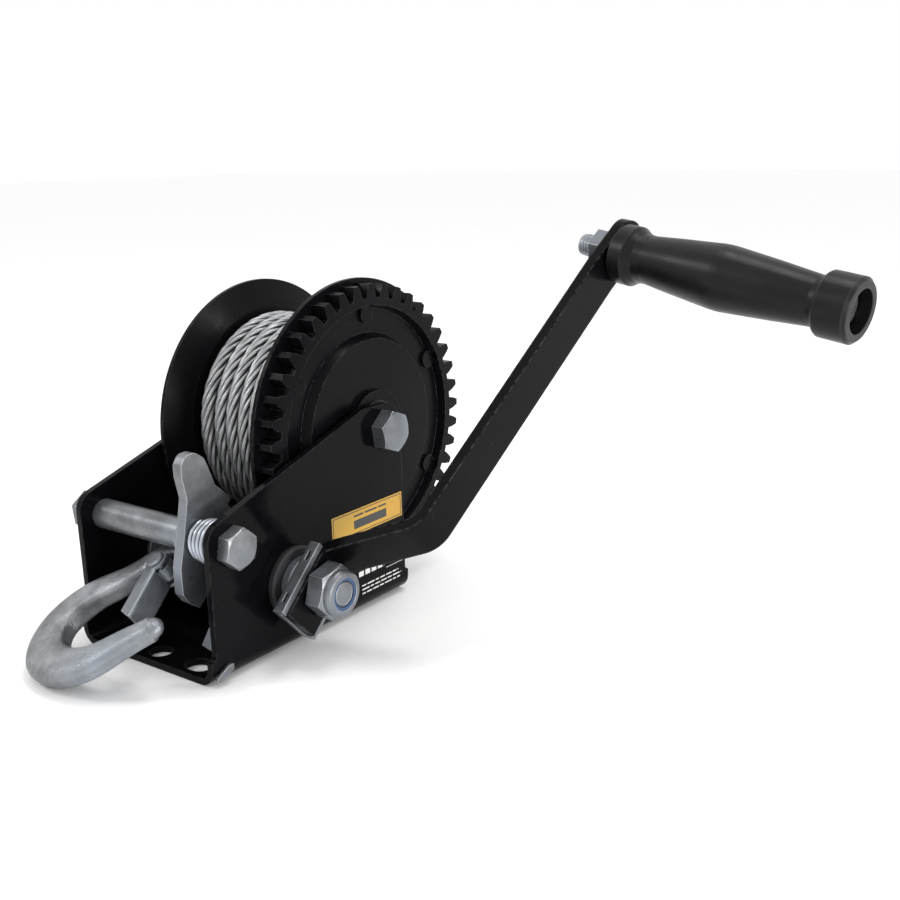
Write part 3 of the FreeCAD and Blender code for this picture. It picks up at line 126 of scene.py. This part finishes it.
class Shape:
    """Verts, faces and face-corner UVs of several tubes that make one mesh."""

    def __init__(self):
        self.verts, self.faces, self.uvs = [], [], []

    def tube(self, path, radius, sides, wires=0, twist=0.0):
        """A tube with closed ends. UV x counts wires round it, and twists along it."""
        start = len(self.verts)
        length = 0.0
        along = []
        for i, (point, axes) in enumerate(zip(path, axes_along(path))):
            length += (point - path[i - 1]).length if i else 0.0
            along.append(length)
            _, normal, side = axes
            for k in range(sides):
                angle = TURN * k / sides
                self.verts.append(point + (normal * math.cos(angle) + side * math.sin(angle)) * radius)
        for i in range(len(path) - 1):
            for k in range(sides):
                a = start + i * sides + k
                b = start + i * sides + (k + 1) % sides
                self.faces.append((a, b, b + sides, a + sides))
                u, v = wires * k / sides, wires * (k + 1) / sides
                low, high = twist * along[i], twist * along[i + 1]
                self.uvs += [(u + low, along[i]), (v + low, along[i]),
                             (v + high, along[i + 1]), (u + high, along[i + 1])]
        for ring, order in ((0, -1), (len(path) - 1, 1)):
            cap = [start + ring * sides + k for k in range(sides)][::order]
            self.faces.append(tuple(cap))
            self.uvs += [(0.0, 0.0)] * sides

    def rope(self, path, radius, lay, sides, normal):
        """Six strands laid round the path, and a core. lay is the length of one turn of a strand."""
        frames = axes_along(path, normal)
        strand = radius / 3
        length = 0.0
        turns = []
        for i, point in enumerate(path):
            length += (point - path[i - 1]).length if i else 0.0
            turns.append(length / lay * TURN)
        for k in range(6):
            line = []
            for point, (_, side, up), turn in zip(path, frames, turns):
                angle = turn + TURN * k / 6
                line.append(point + (side * math.cos(angle) + up * math.sin(angle)) * strand * STRAND_REACH)
            self.tube(line, strand * STRAND_SIZE, sides, wires=WIRES_ROUND, twist=WIRE_TWIST)
        self.tube(path, strand * CORE_SIZE, 6)

    def build(self, name):
        return add_mesh(name, self.verts, self.faces, self.uvs)


def helix(centre, axis, radius, start, length, turns, steps, phase=0.0):
    """Points of a helix along an axis. radius is one number, or a pair for a cone."""
    axis = axis.normalized()
    side = axis.orthogonal().normalized()
    up = axis.cross(side)
    pair = radius if isinstance(radius, tuple) else (radius, radius)
    points = []
    count = int(turns * steps)
    for i in range(count + 1):
        part = i / count
        angle = phase + TURN * turns * part
        size = pair[0] + (pair[1] - pair[0]) * part
        points.append(centre + axis * (start + length * part)
                      + (side * math.cos(angle) + up * math.sin(angle)) * size)
    return points


THREAD_STEPS = 28
THREAD_HEIGHT = 0.32
THREAD_ROOT = 0.1
# half widths of the ridge at its root and its crest, as parts of the pitch
ROOT_WIDTH = 0.44
CREST_WIDTH = 0.06


def thread(name, centre, axis, radius, start, length, pitch, body):
    """The ridge of a screw thread that stands on a shank of this radius."""
    line = helix(centre, axis, radius, start, length, length / pitch, THREAD_STEPS)
    verts, faces = [], []
    axis = axis.normalized()
    for i, point in enumerate(line):
        out = point - centre
        out = (out - axis * out.dot(axis)).normalized()
        fade = min(1.0, i / THREAD_STEPS, (len(line) - 1 - i) / THREAD_STEPS)
        crest = point + out * (THREAD_HEIGHT * MM * fade)
        base = point - out * THREAD_ROOT * MM
        verts += [base - axis * pitch * ROOT_WIDTH, crest - axis * pitch * CREST_WIDTH,
                  crest + axis * pitch * CREST_WIDTH, base + axis * pitch * ROOT_WIDTH]
    for i in range(len(line) - 1):
        for k in range(4):
            a, b = 4 * i + k, 4 * i + (k + 1) % 4
            faces.append((a, b, b + 4, a + 4))
    faces += [(3, 2, 1, 0), tuple(4 * (len(line) - 1) + k for k in range(4))]
    piece = add_mesh(name, verts, faces, smooth=False)
    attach(piece, body)
    return piece


# ---------------------------------------------------------------- the cable's free run
ROPE_LAY = 46 * MM
TAIL_ROUTE = [(3.3, 31.0, 34.2), (3.3, 12.0, 39.0), (3.3, -4.0, 49.0)]


def spline_points(name, places):
    """Points along the smooth line of a NURBS spline whose control points are these."""
    curve = bpy.data.curves.new(name, "CURVE")
    curve.dimensions = "3D"
    curve.resolution_u = 16
    spline = curve.splines.new("NURBS")
    spline.points.add(len(places) - 1)
    for point, place in zip(spline.points, places):
        point.co = (*mm(*place), 1)
    spline.order_u = 3
    spline.use_endpoint_u = True
    guide = bpy.data.objects.new(name, curve)
    bpy.context.collection.objects.link(guide)
    line = bpy.data.meshes.new_from_object(guide)
    points = [v.co.copy() for v in line.vertices]
    bpy.data.objects.remove(guide)
    bpy.data.meshes.remove(line)
    return points


tail_line = spline_points("cable_guide", TAIL_ROUTE)
tail_shape = Shape()
tail_shape.rope(tail_line, 3 * MM, ROPE_LAY, sides=10, normal=X_AXIS)
free_cable = tail_shape.build("free_cable")
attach(free_cable, "frame")
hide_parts("cable_tail")

# the loop round the thimble, from the ferrule and back
LOOP_MIDDLE = mm(3.3, -31.8, 54.9)
LOOP_RADIUS = 8.2 * MM
loop_toward = (LOOP_MIDDLE - tail_line[-1]).normalized()
loop_up = X_AXIS.cross(loop_toward)
loop_start = tail_line[-1] + loop_toward * 11.5 * MM
loop_lean = math.acos(LOOP_RADIUS / (LOOP_MIDDLE - loop_start).length)


def loop_point(angle):
    return LOOP_MIDDLE + (loop_toward * math.cos(angle) + loop_up * math.sin(angle)) * LOOP_RADIUS


loop_reach = math.pi - loop_lean
loop_line = [loop_start.lerp(loop_point(-loop_reach), k / 6) for k in range(1, 6)]
loop_line += [loop_point(-loop_reach + 2 * loop_reach * k / 40) for k in range(41)]
loop_line += [loop_point(loop_reach).lerp(loop_start, k / 6) for k in range(1, 6)]
loop_shape = Shape()
loop_shape.rope(loop_line, 3 * MM, ROPE_LAY, sides=10, normal=X_AXIS)
rope_loop = loop_shape.build("rope_loop")
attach(rope_loop, "frame")
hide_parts("cable_loop")

# ---------------------------------------------------------------- the wound rope
drum_axis = (Vector(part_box("drum_gear")[0]) + Vector(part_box("drum_gear")[1])) / 2
drum_axis.x = 0
PACK_RADIUS = 52.6 * MM
ROPE_RADIUS = 3.5 * MM
LAYER_DEPTH = 7.0 * MM
# where each wrap of the top layer lies across the drum, in mm
WRAP_PLACES = (20.9, 13.3, 5.7, -1.9, -9.6, -17.2, -26.6)
random.seed(11)
# the side of the drum that WRAP_PLACES tells of: towards the hook, a little above the axle
WRAP_FACING = 2.75


def wrap_layer(shape, radius, places, stranded):
    """Rope wound side by side on the drum, with the small unevenness of a hand-wound one."""
    steps = 150 if stranded else 90
    last = len(places) - 1
    count = (last + 1) * steps
    wander = [(random.uniform(0.05, 0.2), random.uniform(0.6, 1.9), random.uniform(0, TURN))
              for _ in range(4)]
    path = []
    for i in range(count + 1):
        turn = i / steps - 0.5
        held = min(max(turn, 0.0), last)
        whole = min(int(held), last - 1)
        angle = WRAP_FACING - TURN * turn
        drift = sum(size * math.sin(rate * turn * 2.3 + phase) for size, rate, phase in wander)
        lift = 0.3 * math.sin(turn * 3.1 + 1.0) + 0.2 * math.sin(turn * 7.7)
        across = places[whole] + (places[whole + 1] - places[whole]) * (held - whole)
        x = (across + drift * min(1, held, last - held)) * MM
        out = radius - 0.3 * MM + lift * MM * 0.5
        path.append(Vector((x, drum_axis.y + out * math.cos(angle), drum_axis.z + out * math.sin(angle))))
    if stranded:
        shape.rope(path, ROPE_RADIUS, ROPE_LAY, sides=8, normal=X_AXIS)
    else:
        shape.tube(path, ROPE_RADIUS, 10, wires=6, twist=-17)


pack_shape = Shape()
low_x, high_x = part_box("wound_cable")[0][0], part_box("wound_cable")[1][0]
outer_line = PACK_RADIUS - ROPE_RADIUS
wrap_layer(pack_shape, outer_line, WRAP_PLACES, True)
lower_places = [place + 3.6 for place in WRAP_PLACES[1:]] + [-25.6]
wrap_layer(pack_shape, outer_line - LAYER_DEPTH, lower_places, False)
pack_shape.tube([Vector((low_x + 0.3 * MM, drum_axis.y, drum_axis.z)),
                 Vector((high_x - 0.3 * MM, drum_axis.y, drum_axis.z))], outer_line - 9 * MM, 64)
wound_rope = pack_shape.build("wound_rope")
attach(wound_rope, "drum")
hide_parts("wound_cable")

# ---------------------------------------------------------------- springs and threads
tie_axis = Vector((0, -0.0505, 0.0584))
coil_low, coil_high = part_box("pawl_spring")[0][0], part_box("pawl_spring")[1][0]
WIRE = 0.95 * MM
COIL_RADII = (8.3 * MM, 10.1 * MM)
COIL_TURNS = 4.6
coil_line = helix(tie_axis, X_AXIS, COIL_RADII, coil_low + WIRE,
                  coil_high - coil_low - 2 * WIRE, COIL_TURNS, 40, phase=0.8)
coil_shape = Shape()
coil_shape.tube(coil_line, WIRE, 10)
pawl_coil = coil_shape.build("pawl_coil")
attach(pawl_coil, "frame")
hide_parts("pawl_spring")

PITCH = 1.5 * MM
shaft_axis = Vector((0, -0.0153, 0.0315))
nut_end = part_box("crank_nut")[1][0]
stud_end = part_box("pinion_shaft")[1][0]
threads = [thread("stud_thread", shaft_axis, X_AXIS, 6 * MM, nut_end - 3 * MM,
                  stud_end - nut_end + 2.4 * MM, PITCH, "crank")]
for name, node, nut, centre, size in (("tie_thread", "tie_bolt", "tie_nut", tie_axis, 4.95),
                                      ("axle_thread", "drum_axle_bolt", "drum_axle_nut",
                                       drum_axis, 5.95)):
    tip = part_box(node)[0][0]
    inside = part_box(nut)[0][0]
    threads.append(thread(name, centre, X_AXIS, size * MM, tip + 0.3 * MM, inside - tip + MM,
                          PITCH, "frame"))
joints = {joint["name"]: joint for joint in record["behaviour"]["joints"]}
grip_axis = Vector(joints["grip_spin"]["axis"]).normalized()
grip_place = Vector(joints["grip_spin"]["pos_m"])


def along_grip(node, far):
    """How far along the grip's axis a node reaches, from the joint's own point."""
    spots = [(v.co - grip_place).dot(grip_axis) for v in nodes[node].data.vertices]
    return max(spots) if far else min(spots)


bolt_tip = along_grip("grip_bolt", False)
nut_face = along_grip("grip_nut", False)
threads.append(thread("grip_thread", grip_place, grip_axis, 4.95 * MM, bolt_tip + 0.4 * MM,
                      nut_face - bolt_tip + MM, PITCH, "crank"))


# ---------------------------------------------------------------- generic print
def plates(name, corners_list, x_low, x_high, body):
    """Thin printed shapes that lie on a plate that faces +X. Corners are (y, z) in mm."""
    verts, faces = [], []
    for corners in corners_list:
        start = len(verts)
        count = len(corners)
        for x in (x_low, x_high):
            verts += [mm(x, y, z) for y, z in corners]
        faces.append(tuple(start + count + k for k in range(count)))
        faces.append(tuple(start + k for k in range(count))[::-1])
        for k in range(count):
            after = (k + 1) % count
            faces.append((start + k, start + after, start + count + after, start + count + k))
    piece = add_mesh(name, verts, faces, smooth=False)
    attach(piece, body)
    return piece


def bar(y0, y1, z0, z1):
    return [(y0, z0), (y1, z0), (y1, z1), (y0, z1)]


PLATE_FACE = 43.0
LABEL_FACE = 43.2
white_bars = [bar(27, 63, 22.1, 22.4), bar(48.5, 63, 16.9, 17.2)]
# a row of large blocks, then rows of small ones: how high each stands, and where it starts and ends
PRINT_ROWS = ((18.4, (28, 47)), (13.0, (30, 58)), (11.0, (30, 60)), (9.0, (30, 59)))
SMALL_WIDTHS = (4.2, 3.0, 5.4, 2.4, 3.8)
for row, (z, ends) in enumerate(PRINT_ROWS):
    tall = 0.7 if row else 2.6
    y = ends[0]
    step = 0
    while y < ends[1]:
        width = SMALL_WIDTHS[(step + row) % len(SMALL_WIDTHS)] if row else 3.6
        white_bars.append(bar(y, min(y + width, ends[1]), z, z + tall))
        y += width + (0.9 if row else 1.1)
        step += 1
frame_print = plates("frame_print", white_bars, PLATE_FACE, PLATE_FACE + 0.06, "frame")
label_bars = [bar(11.4, 61.3, 41.2, 41.6), bar(11.4, 61.3, 51.8, 52.2), bar(11.4, 11.8, 41.6, 51.8),
              bar(60.9, 61.3, 41.6, 51.8), bar(26, 50, 43.4, 47.6), bar(26, 33, 49.3, 50.2),
              bar(34, 43, 49.3, 50.2), bar(44, 50, 49.3, 50.2)]
label_print = plates("label_print", label_bars, LABEL_FACE, LABEL_FACE + 0.05, "frame")


# ---------------------------------------------------------------- materials
class Nodes:
    """A material's node tree, with short names for the nodes that the finishes share."""

    def __init__(self, name):
        self.material = bpy.data.materials.new(name)
        self.material.use_nodes = True
        self.tree = self.material.node_tree
        self.tree.nodes.clear()
        output = self.tree.nodes.new("ShaderNodeOutputMaterial")
        self.shader = self.tree.nodes.new("ShaderNodeBsdfPrincipled")
        self.tree.links.new(self.shader.outputs[0], output.inputs[0])
        self.place = self.tree.nodes.new("ShaderNodeTexCoord").outputs["Object"]

    def put(self, socket, value):
        if isinstance(value, bpy.types.NodeSocket):
            self.tree.links.new(value, socket)
        else:
            socket.default_value = value

    def add(self, kind, settings=None, **inputs):
        node = self.tree.nodes.new(kind)
        for name, value in (settings or {}).items():
            setattr(node, name, value)
        for name, value in inputs.items():
            self.put(node.inputs[name.replace("_", " ")], value)
        return node

    def noise(self, scale, detail, rough=0.5):
        node = self.add("ShaderNodeTexNoise", Scale=scale, Detail=detail, Roughness=rough,
                        Vector=self.place)
        return node.outputs[0]

    def remap(self, value, low, high, out_low=0.0, out_high=1.0):
        node = self.add("ShaderNodeMapRange")
        self.put(node.inputs[0], value)
        for socket, number in zip(node.inputs[1:5], (low, high, out_low, out_high)):
            socket.default_value = number
        return node.outputs[0]

    def math(self, operation, a, b=0.0):
        node = self.add("ShaderNodeMath", {"operation": operation})
        self.put(node.inputs[0], a)
        self.put(node.inputs[1], b)
        return node.outputs[0]

    def mix(self, factor, a, b):
        node = self.add("ShaderNodeMix", {"data_type": "RGBA"})
        self.put(node.inputs[0], factor)
        for socket, value in ((node.inputs[6], a), (node.inputs[7], b)):
            self.put(socket, value if isinstance(value, bpy.types.NodeSocket) else (*value, 1.0))
        return node.outputs[2]

    def rounded(self, radius):
        """Normals of softly rounded edges, and how near an edge each point is."""
        node = self.add("ShaderNodeBevel", {"samples": 4}, Radius=radius)
        flat = self.add("ShaderNodeNewGeometry").outputs["Normal"]
        dot = self.add("ShaderNodeVectorMath", {"operation": "DOT_PRODUCT"})
        self.put(dot.inputs[0], node.outputs[0])
        self.put(dot.inputs[1], flat)
        near = self.remap(dot.outputs["Value"], 0.995, 0.90)
        return node.outputs[0], near

    def bump(self, height, strength, distance, normal=None):
        node = self.add("ShaderNodeBump", Strength=strength, Distance=distance, Height=height)
        if normal is not None:
            self.put(node.inputs["Normal"], normal)
        return node.outputs[0]

    def finish(self, color, rough, normal=None, **constants):
        self.put(self.shader.inputs["Base Color"], color)
        self.put(self.shader.inputs["Roughness"], rough)
        if normal is not None:
            self.put(self.shader.inputs["Normal"], normal)
        for name, value in constants.items():
            self.shader.inputs[name.replace("_", " ")].default_value = value
        return self.material


def gloss_black(name, dark, light, rough, wear_and_highlight_strength, edge):
    """Black paint with a faint ripple, dust, uneven gloss, and edges paled both by wear and as a painted
    highlight.
    """
    n = Nodes(name)
    normal, near = n.rounded(edge)
    patches = n.noise(26, 4)
    edge_wear_and_highlight = n.math("MULTIPLY", near, n.remap(n.noise(420, 3), 0.40, 0.62))
    dust = n.remap(n.noise(1300, 2, 0.6), 0.70, 0.78)
    faint = n.math("MULTIPLY", dust, n.remap(n.noise(90, 2), 0.45, 0.65))
    color = n.mix(n.remap(patches, 0.3, 0.7), dark, light)
    color = n.mix(n.math("MULTIPLY", faint, 0.35), color, (0.22, 0.22, 0.22))
    # pale grey along the edges: partly wear, partly a painted highlight
    color = n.mix(n.math("MULTIPLY", edge_wear_and_highlight, wear_and_highlight_strength), color, (0.20, 0.20, 0.21))
    gloss = n.remap(n.noise(55, 5, 0.6), 0.3, 0.7, rough * 0.75, rough * 1.35)
    gloss = n.math("ADD", gloss, n.math("MULTIPLY", edge_wear_and_highlight, 0.2))
    ripple = n.bump(n.noise(240, 2), 0.10, 0.0004, normal)
    return n.finish(color, gloss, ripple, Specular_IOR_Level=0.07)


def zinc(name, dark, light, rough, grain, grain_strength, edge, metal, edge_highlight):
    """Zinc or spring steel: cloudy colour, uneven gloss, fine grain, and edges brightened as a painted
    highlight.
    """
    n = Nodes(name)
    normal, near = n.rounded(edge)
    clouds = n.remap(n.noise(70, 6, 0.62), 0.32, 0.68)
    color = n.mix(clouds, dark, light)
    bluish = tuple(a * b for a, b in zip(light, (0.93, 0.98, 1.06)))
    color = n.mix(n.remap(n.noise(19, 3), 0.45, 0.7), color, bluish)
    # painted highlight: edges lightened toward near-white
    color = n.mix(n.math("MULTIPLY", near, edge_highlight), color, (0.86, 0.87, 0.88))
    gloss = n.remap(n.noise(130, 5, 0.65), 0.3, 0.72, rough * 0.72, rough * 1.4)
    pits = n.bump(n.noise(grain, 3, 0.6), grain_strength, 0.0005, normal)
    return n.finish(color, gloss, pits, Metallic=metal)


def strands(name):
    """Galvanised wires: fine ridges that follow each strand, with painted shade in the grooves between
    wires and in the hollows between strands and wraps.
    """
    n = Nodes(name)
    uv = n.add("ShaderNodeUVMap").outputs[0]
    split = n.add("ShaderNodeSeparateXYZ")
    n.put(split.inputs[0], uv)
    ridge = n.math("SINE", n.math("MULTIPLY", split.outputs[0], TURN))
    ridge = n.remap(ridge, -1, 1)
    clouds = n.remap(n.noise(160, 5, 0.6), 0.3, 0.7)
    color = n.mix(clouds, (0.40, 0.41, 0.42), (0.72, 0.73, 0.74))
    # painted shade in the grooves between the wires
    color = n.mix(n.remap(ridge, 0.0, 0.55, 0.6, 0.0), color, (0.11, 0.11, 0.115))
    # painted shade where ambient occlusion finds hollows, between strands and between wraps
    open_sky = n.add("ShaderNodeAmbientOcclusion", {"samples": 6}, Distance=0.005).outputs["AO"]
    color = n.mix(n.remap(open_sky, 0.35, 0.85, 0.92, 0.0), color, (0.03, 0.03, 0.032))
    gloss = n.remap(n.noise(500, 3), 0.3, 0.7, 0.30, 0.5)
    normal = n.bump(ridge, 0.55, 0.00025)
    return n.finish(color, gloss, normal, Metallic=0.85)


def plastic(name, dark, light, rough, edge):
    """Moulded plastic: fine grain, uneven gloss and greyer edges."""
    n = Nodes(name)
    normal, near = n.rounded(edge)
    color = n.mix(n.remap(n.noise(40, 4), 0.3, 0.7), dark, light)
    color = n.mix(n.math("MULTIPLY", near, 0.45), color, (0.09, 0.09, 0.095))
    gloss = n.remap(n.noise(70, 4), 0.3, 0.7, rough * 0.85, rough * 1.25)
    grain = n.bump(n.noise(2600, 2), 0.10, 0.0003, normal)
    return n.finish(color, gloss, grain, Specular_IOR_Level=0.20)


def sticker(name, low, high):
    """Print or a label: one colour at its low-Y end, another at the far end, under a thin coat."""
    n = Nodes(name)
    normal, near = n.rounded(0.0002)
    split = n.add("ShaderNodeSeparateXYZ")
    n.put(split.inputs[0], n.place)
    sheen = n.remap(split.outputs[1], 0.010, 0.062)
    color = n.mix(sheen, low, high)
    color = n.mix(n.remap(n.noise(220, 3), 0.55, 0.8, 0.0, 0.25), color, tuple(v * 0.7 for v in low))
    gloss = n.remap(n.noise(60, 3), 0.3, 0.7, 0.25, 0.42)
    return n.finish(color, gloss, n.bump(n.noise(300, 2), 0.06, 0.0003, normal), Coat_Weight=0.3)


MATERIALS = {
    "frame_paint": gloss_black("frame_paint", (0.0022, 0.0022, 0.0028), (0.004, 0.004, 0.005),
                               rough=0.11, wear_and_highlight_strength=0.26, edge=0.0006),
    "drum_paint": gloss_black("drum_paint", (0.0024, 0.0024, 0.003), (0.0042, 0.0042, 0.0052),
                              rough=0.27, wear_and_highlight_strength=0.36, edge=0.0005),
    "crank_paint": gloss_black("crank_paint", (0.0028, 0.0028, 0.0034), (0.005, 0.005, 0.006),
                               rough=0.20, wear_and_highlight_strength=0.40, edge=0.0012),
    "zinc_plate": zinc("zinc_plate", (0.11, 0.115, 0.122), (0.24, 0.25, 0.262), rough=0.33,
                       grain=1500, grain_strength=0.18, edge=0.0005, metal=0.7, edge_highlight=0.55),
    "forged_zinc": zinc("forged_zinc", (0.10, 0.105, 0.112), (0.34, 0.35, 0.362), rough=0.36,
                        grain=900, grain_strength=0.8, edge=0.0006, metal=0.8, edge_highlight=0.1),
    "spring_steel": zinc("spring_steel", (0.34, 0.35, 0.37), (0.56, 0.575, 0.60), rough=0.30,
                         grain=1900, grain_strength=0.08, edge=0.0002, metal=0.9, edge_highlight=0.7),
    "wire_rope": strands("wire_rope"),
    "black_bush": plastic("black_bush", (0.015, 0.015, 0.017), (0.03, 0.03, 0.032),
                          rough=0.45, edge=0.0004),
    "grip_plastic": plastic("grip_plastic", (0.004, 0.004, 0.0045), (0.007, 0.007, 0.008),
                            rough=0.33, edge=0.0009),
    "nylon_insert": plastic("nylon_insert", (0.04, 0.07, 0.15), (0.07, 0.12, 0.23),
                            rough=0.35, edge=0.0002),
    "label": sticker("label_yellow", (0.62, 0.36, 0.012), (0.50, 0.26, 0.008)),
}
PRINT_WHITE = sticker("print_white", (0.70, 0.70, 0.68), (0.62, 0.62, 0.60))
PRINT_BLACK = sticker("print_black", (0.012, 0.012, 0.012), (0.02, 0.02, 0.018))


def dress(piece, material):
    piece.data.materials.clear()
    piece.data.materials.append(material)


for entry in record["subparts"]:
    for place in nodes[entry["node"]].material_slots:
        place.material = MATERIALS[entry["material_slot"]]
for piece in (free_cable, rope_loop, wound_rope):
    dress(piece, MATERIALS["wire_rope"])
dress(pawl_coil, MATERIALS["spring_steel"])
dress(frame_print, PRINT_WHITE)
dress(label_print, PRINT_BLACK)
for piece in threads:
    dress(piece, MATERIALS["zinc_plate"])

# ---------------------------------------------------------------- floor and light
floor_material = Nodes("floor")
floor_tone = floor_material.mix(floor_material.noise(3, 2), (0.96, 0.96, 0.96), (0.98, 0.98, 0.98))
floor_material.finish(floor_tone, 0.85)
FLOOR = 8.0
FLOOR_TOP = -0.0002
floor_corners = [(x * FLOOR, y * FLOOR, FLOOR_TOP) for x, y in ((-1, -1), (1, -1), (1, 1), (-1, 1))]
floor = add_mesh("floor", floor_corners, [(0, 1, 2, 3)])
dress(floor, floor_material.material)

world = bpy.data.worlds.new("studio")
bpy.context.scene.world = world
world.use_nodes = True
sky = world.node_tree.nodes["Background"]
sky.inputs["Color"].default_value = (1.0, 1.0, 1.0, 1.0)
sky.inputs["Strength"].default_value = 1.0
bpy.context.scene.view_settings.view_transform = "Standard"


def softbox(name, place, target, width, height, power):
    lamp = bpy.data.lights.new(name, "AREA")
    lamp.shape = "RECTANGLE"
    lamp.size, lamp.size_y = width, height
    lamp.energy = power
    light = bpy.data.objects.new(name, lamp)
    light.location = place
    light.rotation_euler = (Vector(target) - Vector(place)).to_track_quat("-Z", "Y").to_euler()
    bpy.context.collection.objects.link(light)


# all four face the winch: a place, what it faces, width and height in metres, and watts
MIDDLE = (0.05, 0.0, 0.08)
softbox("key", (-0.75, -0.70, 0.95), MIDDLE, 0.26, 0.26, 3.8)
softbox("top", (0.15, 0.25, 1.25), MIDDLE, 0.5, 0.25, 3.5)
softbox("side", (1.10, 0.45, 0.55), MIDDLE, 0.15, 0.5, 2.5)
softbox("low", (1.15, -0.10, 0.15), MIDDLE, 0.35, 0.14, 4)
